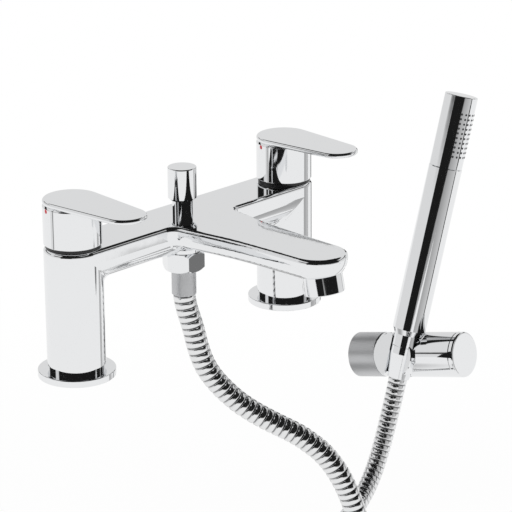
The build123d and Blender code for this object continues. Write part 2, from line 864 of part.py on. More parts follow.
with BuildPart() as sleeve_screw:
    with BuildSketch(sleeve_screw_plane.offset(sleeve_bore - rest_gap)):
        Circle(sleeve_screw_diameter / 2)
        RegularPolygon(sleeve_screw_diameter / 4, 6, mode=Mode.SUBTRACT)
    extrude(amount=base_wall)
save(sleeve_screw.part, "sleeve_screw")

# Turning holder: bar, side boss and spindle in one, bored for the handset's cone
holder_start = base_length + glide_washer_height
cap_start = bar_length - cap_visible
cone_radius = cone_tip_diameter / 2 + socket_clearance
shoulder_radius = cone_top_diameter / 2 + socket_clearance
mouth_radius = mouth_diameter / 2
boss_plane = Plane(
    origin=holder_plane.from_local_coords(Vector(0, 0, boss_level)),
    x_dir=holder_plane.y_dir,
    z_dir=-holder_plane.x_dir,
)
with BuildPart() as holder:
    with BuildSketch(profile_plane(holder_plane)):
        with BuildLine():
            Polyline(
                (0, axle_end),
                (axle_radius, axle_end),
                (axle_radius, holder_start),
                (bar_radius - base_edge, holder_start),
                (bar_radius, holder_start + base_edge),
                (bar_radius, cap_start - cap_groove),
                (bar_radius - cap_groove, cap_start),
                (0, cap_start),
                close=True,
            )
        make_face()
    revolve(axis=axis_of(holder_plane))
    with BuildSketch(boss_plane):
        Circle(boss_diameter / 2)
    extrude(amount=boss_face)
    rim = holder.faces().sort_by(Axis(boss_plane.origin, boss_plane.z_dir))[-1]
    chamfer(rim.edges(), boss_edge)
    with BuildSketch(profile_plane(handset_plane)):
        with BuildLine():
            Polyline(
                (0, cone_end - boss_diameter),
                (socket_foot_diameter / 2, cone_end - boss_diameter),
                (socket_foot_diameter / 2, socket_foot),
                (cone_radius, socket_foot),
                (shoulder_radius, cone_shoulder),
                (shoulder_radius, cone_start),
                (mouth_radius, cone_start),
                (mouth_radius, mouth_flare_start),
                (mouth_flare_diameter / 2, barrel_foot),
                (mouth_flare_diameter / 2, boss_diameter),
                (0, boss_diameter),
                close=True,
            )
        make_face()
    revolve(axis=axis_of(handset_plane), mode=Mode.SUBTRACT)
    with BuildSketch(handset_plane.offset(-boss_diameter)):
        with Locations((-boss_diameter / 2, 0)):
            Rectangle(boss_diameter, slot_width)
    extrude(amount=2 * boss_diameter, mode=Mode.SUBTRACT)
    with BuildSketch(holder_plane.offset(cap_start)):
        Circle(cap_plug_diameter / 2)
    extrude(amount=-front_bore_depth, mode=Mode.SUBTRACT)
    with BuildSketch(holder_plane.offset(axle_end)):
        Circle(axle_screw_diameter / 2)
    extrude(amount=axle_screw_depth, mode=Mode.SUBTRACT)
save(holder.part, "holder")

with BuildPart() as glide_washer:
    with BuildSketch(wall_plane.offset(base_length)):
        Circle(glide_washer_diameter / 2)
        Circle(axle_radius + fit_gap, mode=Mode.SUBTRACT)
    extrude(amount=glide_washer_height)
save(glide_washer.part, "glide_washer")

with BuildPart() as clamp_washer:
    with BuildSketch(wall_plane.offset(axle_end)):
        Circle(clamp_washer_diameter / 2)
        Circle(axle_radius + fit_gap, mode=Mode.SUBTRACT)
    extrude(amount=clamp_washer_height)
save(clamp_washer.part, "clamp_washer")

with BuildPart() as axle_screw:
    with BuildSketch(holder_plane.offset(axle_end - axle_screw_head_height)):
        Circle(axle_screw_head_diameter / 2)
    extrude(amount=axle_screw_head_height)
    with BuildSketch(holder_plane.offset(axle_end)):
        Circle(axle_screw_diameter / 2)
    extrude(amount=axle_screw_depth - rest_gap)
    with BuildSketch(holder_plane.offset(axle_end - axle_screw_head_height)):
        RegularPolygon(axle_screw_diameter / 2, 6)
    extrude(amount=axle_screw_head_height, mode=Mode.SUBTRACT)
save(axle_screw.part, "axle_screw")

with BuildPart() as end_cap:
    with BuildSketch(holder_plane.offset(cap_start)):
        Circle(bar_radius)
    extrude(amount=cap_visible)
    fillet(end_cap.faces().sort_by(Axis(holder_plane.origin, holder_plane.z_dir))[-1].edges(), cap_edge)
    chamfer(end_cap.faces().sort_by(Axis(holder_plane.origin, holder_plane.z_dir))[0].edges(), cap_groove)
    with BuildSketch(holder_plane.offset(cap_start)):
        Circle(cap_plug_diameter / 2)
        Circle(cap_plug_diameter / 2 - base_wall, mode=Mode.SUBTRACT)
    extrude(amount=-cap_plug_length)
save(end_cap.part, "end_cap")

# Handset: barrel, threaded inlet, spray head with its nozzle strip, end cap
barrel_radius = handset_diameter / 2
barrel_bore = barrel_radius - barrel_wall
head_radius = head_diameter / 2
head_bore = head_radius - head_wall
neck_radius = inlet_neck_diameter / 2
head_end = handset_end - end_cap_height
with BuildPart() as handset_barrel:
    with BuildSketch(profile_plane(handset_plane)):
        with BuildLine():
            Polyline(
                (neck_radius, barrel_foot),
                (barrel_foot_diameter / 2, barrel_foot),
                (barrel_radius, barrel_start),
                (barrel_radius, head_start - joint_groove),
                (barrel_radius - joint_groove, head_start),
                (barrel_bore, head_start),
                (barrel_bore, barrel_start + barrel_wall),
                (neck_radius, barrel_start),
                close=True,
            )
        make_face()
    revolve(axis=axis_of(handset_plane))
save(handset_barrel.part, "handset_barrel")

with BuildPart() as handset_inlet:
    with BuildSketch(profile_plane(handset_plane)):
        with BuildLine():
            Polyline(
                (inlet_way_diameter / 2, cone_start - inlet_male_length),
                (inlet_male_diameter / 2, cone_start - inlet_male_length),
                (inlet_male_diameter / 2, cone_start),
                (inlet_collar_diameter / 2, cone_start),
                (inlet_collar_diameter / 2, barrel_foot),
                (neck_radius, barrel_foot),
                (neck_radius, barrel_foot + inlet_plug_length),
                (inlet_way_diameter / 2, barrel_foot + inlet_plug_length),
                close=True,
            )
        make_face()
    revolve(axis=axis_of(handset_plane))
save(handset_inlet.part, "handset_inlet")

nozzle_angles = [
    (i - (nozzle_columns - 1) / 2) * nozzle_column_angle for i in range(nozzle_columns)
]
nozzle_levels = [nozzle_first + i * nozzle_row_pitch for i in range(nozzle_rows)]
nozzle_planes = [
    Plane(
        origin=handset_plane.from_local_coords(Vector(0, 0, level)),
        x_dir=handset_plane.z_dir,
        z_dir=handset_plane.x_dir * sin(radians(angle)) - handset_plane.y_dir * cos(radians(angle)),
    )
    for level in nozzle_levels
    for angle in nozzle_angles
]
with BuildPart() as handset_head:
    with BuildSketch(profile_plane(handset_plane)):
        with BuildLine():
            Polyline(
                (barrel_bore - head_wall, head_start - head_spigot_length),
                (barrel_bore - fit_gap, head_start - head_spigot_length),
                (barrel_bore - fit_gap, head_start),
                (head_radius - joint_groove, head_start),
                (head_radius, head_start + joint_groove),
                (head_radius, head_end),
                (head_bore, head_end),
                (head_bore, head_start + head_wall),
                (barrel_bore - head_wall, head_start),
                close=True,
            )
        make_face()
    revolve(axis=axis_of(handset_plane))
    for nozzle_plane in nozzle_planes:
        with BuildSketch(nozzle_plane):
            Circle(nozzle_hole_diameter / 2)
        extrude(amount=head_diameter, mode=Mode.SUBTRACT)
save(handset_head.part, "handset_head")

liner_arc = nozzle_columns * nozzle_column_angle
liner_radius = head_bore - liner_wall
liner_length = (nozzle_rows - 1) * nozzle_row_pitch + 2 * liner_margin
liner_plane = handset_plane.offset(nozzle_first - liner_margin)
with BuildPart() as nozzle_strip:
    with BuildSketch(liner_plane):
        with BuildLine():
            CenterArc((0, 0), head_bore, -90 - liner_arc / 2, liner_arc)
            CenterArc((0, 0), liner_radius, -90 - liner_arc / 2, liner_arc)
            for end in (-1, 1):
                angle = radians(-90 + end * liner_arc / 2)
                Line(
                    (head_bore * cos(angle), head_bore * sin(angle)),
                    (liner_radius * cos(angle), liner_radius * sin(angle)),
                )
        make_face()
    extrude(amount=liner_length)
    for nozzle_plane in nozzle_planes:
        with BuildSketch(nozzle_plane.offset(liner_radius + liner_wall / 2)):
            Circle(nozzle_diameter / 2)
        extrude(amount=head_radius + nozzle_stand - liner_radius - liner_wall / 2)
save(nozzle_strip.part, "nozzle_strip")

with BuildPart() as head_seal:
    with BuildSketch(handset_plane.offset(head_start - head_spigot_length - head_seal_height)):
        Circle(barrel_bore)
        Circle(barrel_bore - head_wall, mode=Mode.SUBTRACT)
    extrude(amount=head_seal_height)
save(head_seal.part, "head_seal")

with BuildPart() as handset_cap:
    with BuildSketch(handset_plane.offset(head_end)):
        Circle(head_radius)
    extrude(amount=end_cap_height)
    fillet(handset_cap.faces().sort_by(axis_of(handset_plane))[-1].edges(), end_cap_edge)
    with BuildSketch(handset_plane.offset(head_end)):
        Circle(head_bore)
        Circle(head_bore - head_wall, mode=Mode.SUBTRACT)
    extrude(amount=-end_plug_length)
save(handset_cap.part, "handset_cap")

# Cone nut on the hose end, with its washer against the inlet
male_end = cone_start - inlet_male_length
washer_end = male_end - cone_washer_height
hose_bore = hose_bore_diameter / 2
with BuildPart() as cone_nut:
    with BuildSketch(profile_plane(handset_plane)):
        with BuildLine():
            Polyline(
                (hose_bore, cone_end),
                (cone_tip_diameter / 2, cone_end),
                (cone_top_diameter / 2, cone_shoulder),
                (cone_top_diameter / 2, cone_start - rest_gap),
                (cone_bore_diameter / 2, cone_start - rest_gap),
                (cone_bore_diameter / 2, washer_end),
                (hose_bore, washer_end),
                close=True,
            )
        make_face()
    revolve(axis=axis_of(handset_plane))
save(cone_nut.part, "cone_nut")

with BuildPart() as cone_washer:
    with BuildSketch(handset_plane.offset(washer_end)):
        Circle(inlet_male_diameter / 2)
        Circle(inlet_way_diameter / 2, mode=Mode.SUBTRACT)
    extrude(amount=cone_washer_height)
save(cone_washer.part, "cone_washer")

# Hose: ribbed where it leaves the outlet and where it reaches the handset, smooth between,
# with the spare length in a round coil that stands on the floor behind the view
hose_radius = hose_diameter / 2
hose_section = pi * (hose_radius**2 - hose_bore**2)
steady = Vector(1, 1, 0)
bend_share = 0.45


def bend_radii(points):
    radii = []
    for before, corner, after in zip(points, points[1:], points[2:]):
        run_in = Vector(corner) - Vector(before)
        run_out = Vector(after) - Vector(corner)
        half_turn = radians(run_in.get_angle(run_out)) / 2
        radii.append(bend_share * min(run_in.length, run_out.length) / tan(half_turn))
    return radii


def station(line, along):
    share = along / line.length
    return Plane(origin=line.position_at(share), x_dir=steady, z_dir=line.tangent_at(share))


def rib_stations(start, count):
    """Four circles a rib: valley, crest, crest, valley, with the rest of the pitch a valley."""
    crest_start = rib_flank_share
    crest_end = crest_start + rib_crest_share
    stations = []
    for i in range(count):
        foot = start + i * rib_pitch
        stations.append((foot, hose_radius - rib_depth))
        stations.append((foot + crest_start * rib_pitch, hose_radius))
        stations.append((foot + crest_end * rib_pitch, hose_radius))
        stations.append((foot + (crest_end + rib_flank_share) * rib_pitch, hose_radius - rib_depth))
    return stations


# Coil: half turns that each climb half a pitch in their own tilted plane, so that they meet
# with level tangents, and a last part turn that leaves towards the handset
start_angle = radians(coil_start_angle)
outward = Vector(cos(start_angle), sin(start_angle), 0)
onward = Vector(sin(start_angle), -cos(start_angle), 0)
climb = coil_pitch / 2
cross_radius = sqrt(coil_radius**2 + climb**2 / 4)
coil_entry = Vector(outlet_route[-1]) + onward * hose_diameter
coil_axis = coil_entry - outward * coil_radius


def coil_point(half, angle):
    """Where the tube's line is at an angle into the given half turn, clockwise from above."""
    side = (-1) ** half
    turned = radians(angle)
    level = outward * (side * coil_radius * cos(turned)) + onward * (side * cross_radius * sin(turned))
    return coil_axis + level + Vector(0, 0, climb * (half + (1 - cos(turned)) / 2))


with BuildLine() as coil_line:
    Line(outlet_route[-1], coil_entry)
    for half in range(coil_half_turns):
        ThreePointArc(coil_point(half, 0), coil_point(half, 90), coil_point(half, 180))
    last_arc = ThreePointArc(
        coil_point(coil_half_turns, 0),
        coil_point(coil_half_turns, coil_last_angle / 2),
        coil_point(coil_half_turns, coil_last_angle),
    )
    Line(last_arc @ 1, last_arc @ 1 + last_arc % 1 * hose_diameter)
coil_path = coil_line.wires()[0]

outlet_points = [(0, 0, ferrule_bottom)] + outlet_route
handset_points = [coil_path @ 1, coil_path @ 1 + coil_path % 1 * first_run] + handset_route + [
    handset_plane.from_local_coords(Vector(0, 0, cone_end - last_run)),
    handset_plane.from_local_coords(Vector(0, 0, cone_end)),
]
outlet_radii = bend_radii(outlet_points)
handset_radii = bend_radii(handset_points)
print("hose bend radii", [round(r) for r in outlet_radii + handset_radii])
with BuildLine() as outlet_line:
    FilletPolyline(*outlet_points, radius=outlet_radii)
with BuildLine() as handset_line:
    FilletPolyline(*handset_points, radius=handset_radii)
outlet_path = outlet_line.wires()[0]
handset_path = handset_line.wires()[0]

outlet_ribs = outlet_rib_count * rib_pitch
handset_ribs = handset_rib_count * rib_pitch
handset_plain = handset_path.length - handset_ribs
outlet_upper = outlet_path.trim(0, outlet_ribs / outlet_path.length)
outlet_lower = outlet_path.trim(outlet_ribs / outlet_path.length, 1)
handset_lower = handset_path.trim(0, handset_plain / handset_path.length)
handset_upper = handset_path.trim(handset_plain / handset_path.length, 1)

with BuildPart() as hose_outlet_ribbed:
    for along, radius in rib_stations(0, outlet_rib_count) + [(outlet_ribs, hose_radius - rib_depth)]:
        with BuildSketch(station(outlet_path, along)):
            Circle(radius)
    loft(ruled=True)
    with BuildSketch(station(outlet_path, 0)):
        Circle(hose_bore)
    sweep(path=outlet_upper, mode=Mode.SUBTRACT)
save(hose_outlet_ribbed.part, "hose_outlet_ribbed")

with BuildPart() as hose_handset_ribbed:
    for along, radius in rib_stations(handset_plain, handset_rib_count) + [
        (handset_path.length, hose_radius - rib_depth)
    ]:
        with BuildSketch(station(handset_path, along)):
            Circle(radius)
    loft(ruled=True)
    with BuildSketch(station(handset_path, handset_plain)):
        Circle(hose_bore)
    sweep(path=handset_upper, mode=Mode.SUBTRACT)
save(hose_handset_ribbed.part, "hose_handset_ribbed")

with BuildPart() as hose_lower:
    with BuildSketch(station(outlet_lower, 0)):
        Circle(hose_radius)
        Circle(hose_bore, mode=Mode.SUBTRACT)
    sweep(path=outlet_lower)
save(hose_lower.part, "hose_lower")

with BuildPart() as hose_rise:
    with BuildSketch(station(handset_lower, 0)):
        Circle(hose_radius)
        Circle(hose_bore, mode=Mode.SUBTRACT)
    sweep(path=handset_lower)
save(hose_rise.part, "hose_rise")

with BuildPart() as hose_coil:
    with BuildSketch(station(coil_path, 0)):
        Circle(hose_radius)
        Circle(hose_bore, mode=Mode.SUBTRACT)
    sweep(path=coil_path)
save(hose_coil.part, "hose_coil")

coil_samples = [coil_path @ (i / coil_sample_count) for i in range(coil_sample_count + 1)]
coil_step = coil_path.length / coil_sample_count
skip = int(pi * coil_radius / coil_step)
coil_gap = min(
    (coil_samples[j] - coil_samples[i]).length
    for i in range(coil_sample_count)
    for j in range(i + skip, coil_sample_count + 1)
)
print("least gap of the coil to itself", round(coil_gap - hose_diameter, 2))
for name, path, piece in (
    ("hose_lower", outlet_lower, hose_lower),
    ("hose_rise", handset_lower, hose_rise),
    ("hose_coil", coil_path, hose_coil),
):
    print(name, "length", round(path.length, 1), "volume share", round(piece.part.volume / path.length / hose_section, 4))
print("hose length", round(outlet_path.length + coil_path.length + handset_path.length, 1))
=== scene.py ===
import math

import bmesh
import bpy
import numpy as np
from mathutils import Matrix, Vector


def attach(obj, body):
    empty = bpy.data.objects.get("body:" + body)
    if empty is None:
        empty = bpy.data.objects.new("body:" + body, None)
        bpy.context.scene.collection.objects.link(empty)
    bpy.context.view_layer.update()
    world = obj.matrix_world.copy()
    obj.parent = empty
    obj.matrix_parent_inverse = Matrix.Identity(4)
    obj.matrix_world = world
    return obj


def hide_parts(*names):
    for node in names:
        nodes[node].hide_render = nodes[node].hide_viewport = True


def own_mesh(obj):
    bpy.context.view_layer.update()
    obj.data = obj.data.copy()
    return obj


# Bath shower mixer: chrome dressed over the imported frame, with its levers, diverter spring, cast
# corners and ribbed hose made here. Metres, +Z up, the deck at z = 0. The photograph looks along
# +X and +Y and down.

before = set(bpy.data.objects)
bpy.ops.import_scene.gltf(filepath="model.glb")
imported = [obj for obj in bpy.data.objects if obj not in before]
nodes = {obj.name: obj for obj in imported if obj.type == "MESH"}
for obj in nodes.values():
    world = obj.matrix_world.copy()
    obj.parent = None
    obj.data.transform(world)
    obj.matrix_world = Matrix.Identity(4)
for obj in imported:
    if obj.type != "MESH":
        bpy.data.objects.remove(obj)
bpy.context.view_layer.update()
print("frame loaded:", len(nodes), "nodes")

# Camera at the photograph's place, with its own axes; lens and sensor are in millimetres
cameraSettings = {
    "place": (-1.015006, -1.054284, 0.553382),
    "right": (0.697048, -0.716987, -0.007337),
    "up": (0.237508, 0.221223, 0.945860),
    "forward": (0.676546, 0.661052, -0.324493),
    "lens": 176.29,
    "sensor": 36.0,
    "clip": (0.05, 30.0),
}


def addObject(name, data):
    made = bpy.data.objects.new(name, data)
    bpy.context.scene.collection.objects.link(made)
    return made


def addCamera(settings):
    data = bpy.data.cameras.new("photoCamera")
    data.lens = settings["lens"]
    data.sensor_width = settings["sensor"]
    data.clip_start, data.clip_end = settings["clip"]
    camera = addObject("photoCamera", data)
    right, up, forward = (Vector(settings[key]) for key in ("right", "up", "forward"))
    turn = Matrix((right, up, -forward)).transposed()  # columns are the camera's own axes
    camera.matrix_world = Matrix.Translation(Vector(settings["place"])) @ turn.to_4x4()
    bpy.context.scene.camera = camera


addCamera(cameraSettings)
print("camera placed")


# Shader helpers. An input of a node is a value, or the socket of another node that feeds it.
def addNode(tree, kind, inputs=None, **settings):
    node = tree.nodes.new(kind)
    for key, value in settings.items():
        setattr(node, key, value)
    for key, value in (inputs or {}).items():
        if isinstance(value, bpy.types.NodeSocket):
            tree.links.new(value, node.inputs[key])
        else:
            node.inputs[key].default_value = value
    return node


def smoothStep(tree, value, start, end, low=0.0, high=1.0):
    # Goes smoothly from low to high while value goes from start to end
    return addNode(
        tree, "ShaderNodeMapRange",
        {"Value": value, "From Min": start, "From Max": end, "To Min": low, "To Max": high},
        interpolation_type="SMOOTHSTEP",
    ).outputs[0]


def combine(tree, first, second, operation="MULTIPLY"):
    return addNode(tree, "ShaderNodeMath", {0: first, 1: second}, operation=operation).outputs[0]


def mixed(tree, amount, first, second, kind="FLOAT"):
    # first where amount is 0, second where it is 1
    return addNode(
        tree, "ShaderNodeMix", {"Factor": amount, "A": first, "B": second}, data_type=kind,
    ).outputs["Result"]


def noise(tree, place, **inputs):
    values = {key.capitalize(): value for key, value in inputs.items()}
    return addNode(tree, "ShaderNodeTexNoise", {"Vector": place, **values}).outputs["Fac"]


def startGroup(name, inputs, outputs):
    # Returns the new group and the sockets that bring in what its user gives
    group = bpy.data.node_groups.new(name, "ShaderNodeTree")
    for label, kind, value in inputs:
        socket = group.interface.new_socket(label, in_out="INPUT", socket_type=kind)
        socket.default_value = value
    for label, kind in outputs:
        group.interface.new_socket(label, in_out="OUTPUT", socket_type=kind)
    return group, group.nodes.new("NodeGroupInput").outputs


# Polish: roughness that wanders a little with hand marks and a fine haze
polishLook = {
    "detail": 3.0,
    "roughness": 0.6,
    "finerTimes": 14.0,
    "finerDetail": 2.0,
    "hazeRange": (0.12, 0.42),
    "bump": 0.12,
}


def makePolishGroup(look):
    # Roughness goes from Low to High as a wide noise times a finer one crosses the haze's range,
    # and Normal follows the wide noise with waves of the given Height
    group, given = startGroup(
        "polishHaze",
        [
            ("Low", "NodeSocketFloat", 0.03),
            ("High", "NodeSocketFloat", 0.08),
            ("Scale", "NodeSocketFloat", 30.0),
            ("Height", "NodeSocketFloat", 0.002),
        ],
        [("Roughness", "NodeSocketFloat"), ("Normal", "NodeSocketVector")],
    )
    place = addNode(group, "ShaderNodeTexCoord").outputs["Object"]
    wide = noise(
        group, place, scale=given["Scale"], detail=look["detail"], roughness=look["roughness"],
    )
    finer = combine(group, given["Scale"], look["finerTimes"])
    haze = combine(group, wide, noise(group, place, scale=finer, detail=look["finerDetail"]))
    rough = addNode(group, "ShaderNodeMapRange", {
        "Value": haze,
        "From Min": look["hazeRange"][0],
        "From Max": look["hazeRange"][1],
        "To Min": given["Low"],
        "To Max": given["High"],
    })
    bump = addNode(
        group, "ShaderNodeBump",
        {"Strength": look["bump"], "Height": wide, "Distance": given["Height"]},
    )
    addNode(
        group, "NodeGroupOutput",
        {"Roughness": rough.outputs[0], "Normal": bump.outputs["Normal"]},
    )
    return group


# Cast or moulded grain: colour that shifts a little, with a fine pebbled surface
grainLook = {
    "detail": 4.0,
    "roughness": 0.55,
    "broadScale": 45.0,
    "broadDetail": 2.0,
    "bump": 0.35,
}


def makeGrainGroup(look):
    # Colour goes towards black by Shift times a broad noise, and Normal follows a fine noise
    # with pebbles as high as Distance
    group, given = startGroup(
        "fineGrain",
        [
            ("Colour", "NodeSocketColor", (0.5, 0.5, 0.5, 1)),
            ("Shift", "NodeSocketFloat", 0.1),
            ("Scale", "NodeSocketFloat", 900.0),
            ("Distance", "NodeSocketFloat", 0.0001),
        ],
        [("Colour", "NodeSocketColor"), ("Normal", "NodeSocketVector")],
    )
    place = addNode(group, "ShaderNodeTexCoord").outputs["Object"]
    grain = noise(
        group, place, scale=given["Scale"], detail=look["detail"], roughness=look["roughness"],
    )
    broad = noise(group, place, scale=look["broadScale"], detail=look["broadDetail"])
    amount = combine(group, broad, given["Shift"])
    bump = addNode(
        group, "ShaderNodeBump",
        {"Strength": look["bump"], "Height": grain, "Distance": given["Distance"]},
    )
    addNode(group, "NodeGroupOutput", {
        "Colour": mixed(group, amount, given["Colour"], (0, 0, 0, 1), "RGBA"),
        "Normal": bump.outputs["Normal"],
    })
    return group


polishGroup = makePolishGroup(polishLook)
grainGroup = makeGrainGroup(grainLook)

# Metals, with their polish: roughness from low to high, and its noise's scale and height
metalFinishes = {
    "chrome": {
        "colour": (0.86, 0.868, 0.878), "low": 0.025, "high": 0.06, "scale": 24.0, "height": 0.0004,
    },
    "satin_chrome": {
        "colour": (0.56, 0.565, 0.575), "low": 0.30, "high": 0.40, "scale": 60.0, "height": 0.0008,
    },
    "hose_chrome": {
        "colour": (0.80, 0.805, 0.81), "low": 0.09, "high": 0.20, "scale": 55.0, "height": 0.0006,
    },
    "brass": {
        "colour": (0.72, 0.52, 0.24), "low": 0.22, "high": 0.36, "scale": 80.0, "height": 0.001,
    },
    "steel": {
        "colour": (0.55, 0.55, 0.56), "low": 0.24, "high": 0.38, "scale": 90.0, "height": 0.001,
    },
}
# The others, with their roughness and their grain: its shift of colour, scale and distance
plainFinishes = {
    "rubber": {
        "colour": (0.018, 0.018, 0.019), "rough": 0.55,
        "shift": 0.3, "scale": 1500.0, "distance": 0.00012,
    },
    "ceramic": {
        "colour": (0.82, 0.81, 0.78), "rough": 0.16,
        "shift": 0.05, "scale": 2200.0, "distance": 0.00003,
    },
    "black_plastic": {
        "colour": (0.014, 0.014, 0.015), "rough": 0.32,
        "shift": 0.25, "scale": 1300.0, "distance": 0.00006,
    },
    "white_plastic": {
        "colour": (0.62, 0.62, 0.61), "rough": 0.38,
        "shift": 0.1, "scale": 1300.0, "distance": 0.00006,
    },
    "silicone": {
        "colour": (0.055, 0.057, 0.06), "rough": 0.45,
        "shift": 0.2, "scale": 1600.0, "distance": 0.00008,
    },
    "red": {
        "colour": (0.62, 0.012, 0.03), "rough": 0.25,
        "shift": 0.15, "scale": 1200.0, "distance": 0.00004,
    },
}


def startMaterial(name):
    material = bpy.data.materials.new(name)
    material.use_nodes = True
    material.node_tree.nodes.clear()
    return material, material.node_tree


def endMaterial(tree, shader):
    addNode(tree, "ShaderNodeOutputMaterial", {"Surface": shader.outputs[0]})


def makeMetal(name, look):
    # Where the look has a valley colour, a painted shade, the piece's crest attribute goes from it
    # in the grooves to the colour on the ribs
    material, tree = startMaterial(name + "Finish")
    values = {key.capitalize(): look[key] for key in ("low", "high", "scale", "height")}
    polish = addNode(tree, "ShaderNodeGroup", values, node_tree=polishGroup).outputs
    colour = (*look["colour"], 1)
    if "valley" in look:
        crest = addNode(tree, "ShaderNodeAttribute", attribute_name="crest").outputs["Fac"]
        colour = mixed(tree, crest, (*look["valley"], 1), colour, "RGBA")
    endMaterial(tree, addNode(tree, "ShaderNodeBsdfPrincipled", {
        "Base Color": colour,
        "Metallic": 1.0,
        "Roughness": polish["Roughness"],
        "Normal": polish["Normal"],
    }))
    return material


def makePlain(name, look):
    material, tree = startMaterial(name + "Finish")
    values = {key.capitalize(): look[key] for key in ("shift", "scale", "distance")}
    values["Colour"] = (*look["colour"], 1)
    grain = addNode(tree, "ShaderNodeGroup", values, node_tree=grainGroup).outputs
    endMaterial(tree, addNode(tree, "ShaderNodeBsdfPrincipled", {
        "Base Color": grain["Colour"],
        "Roughness": look["rough"],
        "Normal": grain["Normal"],
    }))
    return material


finishes = {name: makeMetal(name, look) for name, look in metalFinishes.items()}
finishes.update({name: makePlain(name, look) for name, look in plainFinishes.items()})
for node in nodes.values():
    slotName = node.data.materials[0].name.split(".")[0]
    node.material_slots[0].link = "OBJECT"
    node.material_slots[0].material = finishes[slotName]
print("finishes placed on the frame's nodes")


# Mesh helpers
def addMesh(name, points, faces, material, smooth):
    # smooth is one value for the whole piece or one for each face; the faces turn outwards
    mesh = bpy.data.meshes.new(name)
    mesh.from_pydata(points.tolist(), [], faces)
    mesh.polygons.foreach_set("use_smooth", np.full(len(faces), smooth))
    built = bmesh.new()
    built.from_mesh(mesh)
    bmesh.ops.recalc_face_normals(built, faces=built.faces)
    built.to_mesh(mesh)
    built.free()
    mesh.materials.append(material)
    return addObject(name, mesh)


def tubeFaces(rings, sides):
    # Quads from each ring of points to the next, then a cap on the first and one on the last
    i, j = np.meshgrid(np.arange(rings - 1), np.arange(sides), indexing="ij")
    here, there = i * sides, (i + 1) * sides
    beside = (j + 1) % sides
    quads = np.stack([here + j, here + beside, there + beside, there + j], -1)
    first = list(range(sides))
    last = list(range((rings - 1) * sides, rings * sides))
    return quads.reshape(-1, 4).tolist() + [first[::-1], last]


def allButCaps(faces):
    # What is smooth on a tube: its two caps, the last faces, stay flat
    return np.arange(len(faces)) < len(faces) - 2


def circle(sides):
    angle = np.arange(sides) * 2 * math.pi / sides
    return np.cos(angle), np.sin(angle)


def unit(rows):
    return rows / np.linalg.norm(rows, axis=1)[:, None]


def ringsAlong(centre, first, second, radius, sides):
    # Point (i, j) = centre_i + radius_i (cos a_j first_i + sin a_j second_i)
    cosine, sine = circle(sides)
    ring = cosine[:, None] * first[:, None] + sine[:, None] * second[:, None]
    return (centre[:, None] + radius[:, None, None] * ring).reshape(-1, 3)


# Levers: a drum under a long plate whose rim is rounded over, with its red dot on the drum
leverShape = {
    "centreX": 0.090,
    "backRadius": 0.0174,
    "tipRadius": 0.0132,
    "reach": 0.0452,
    "drumRadius": 0.0175,
    "boreRadius": 0.0149,
    "bottom": 0.083,
    "underside": 0.1077,
    "top": 0.1107,
    "boreRoof": 0.0026,  # below the plate's underside
    "poleShare": 0.02,  # of the bore's radius, for the small flat in the middle of its roof
    "hold": 0.00006,  # between two rows at a sharp edge
    # Drum's foot and neck: (past the drum's radius, above the bottom or the underside)
    "foot": [(-0.0004, 0), (-0.0003, 0.00003), (-0.00003, 0.0003), (0, 0.0004), (0, 0.0006)],
    "neck": [
        (0, -0.0016), (0, -0.0013), (-0.0001, -0.0011), (-0.0010, -0.0002), (-0.00115, -0.00002),
    ],
    "rim": (0.0011, 0.0015),  # how far in and how high its rounding goes, above and below alike
    "rimSteps": 9,
    "rimHold": 0.00015,
    "topInset": 0.006,
    "columns": 60,
    "dotRadius": 0.0014,
    "dotLevel": 0.1052,
    "dotAngle": 168.0,  # degrees round the drum
    "dotSunk": 0.0001,
    "dotDome": 0.00025,
    "dotRings": 8,
    "dotSides": 32,
}


def makeLever(name, side, shape):
    # Outline point j = centre_j + (radius_j - inset) n_j: the normal n_j turns once round, and
    # centre and radius change from the drum's to the tip's where it passes the straight flanks.
    # Each row of the grid has its own inset and level, and the drum's rows are circles on n_j.
    taper = math.asin((shape["backRadius"] - shape["tipRadius"]) / shape["reach"])
    turn = np.concatenate([
        np.linspace(-taper, math.pi + taper, shape["columns"]),
        np.linspace(math.pi + taper, 2 * math.pi - taper, shape["columns"] // 2),
    ])
    atTip = np.arange(len(turn)) >= shape["columns"]
    normal = np.stack([np.cos(turn), np.sin(turn)], -1)
    drumCentre = np.array([side * shape["centreX"], 0.0])
    plateCentre = drumCentre - np.outer(atTip, (0, shape["reach"]))
    plateRadius = np.where(atTip, shape["tipRadius"], shape["backRadius"])[:, None]

    bore, drum, hold = shape["boreRadius"], shape["drumRadius"], shape["hold"]
    bottom, underside, top = shape["bottom"], shape["underside"], shape["top"]
    roof = underside - shape["boreRoof"]
    drumRows = [
        (bore * shape["poleShare"], roof), (bore - hold, roof), (bore, roof - hold),
        (bore, bottom + hold), (bore + hold, bottom),
    ]
    drumRows += [(drum + past, bottom + rise) for past, rise in shape["foot"]]
    drumRows += [(drum + past, underside + rise) for past, rise in shape["neck"]]

    inward, upward = shape["rim"]
    quarter = np.linspace(0, math.pi / 2, shape["rimSteps"])
    fromSine, fromCosine = 1 - np.sin(quarter), 1 - np.cos(quarter)
    plateRows = list(zip(inward * fromSine, underside + upward * fromCosine))
    plateRows += list(zip(inward * fromCosine, top - upward * fromSine))[1:]
    plateRows += [(inward + shape["rimHold"], top), (shape["topInset"], top)]

    outlines = [(drumCentre + radius * normal, z) for radius, z in drumRows]
    outlines += [(plateCentre + (plateRadius - inset) * normal, z) for inset, z in plateRows]
    points = np.concatenate([np.insert(outline, 2, z, axis=1) for outline, z in outlines])
    faces = tubeFaces(len(outlines), len(turn))
    return addMesh(name, points, faces, finishes["chrome"], True)


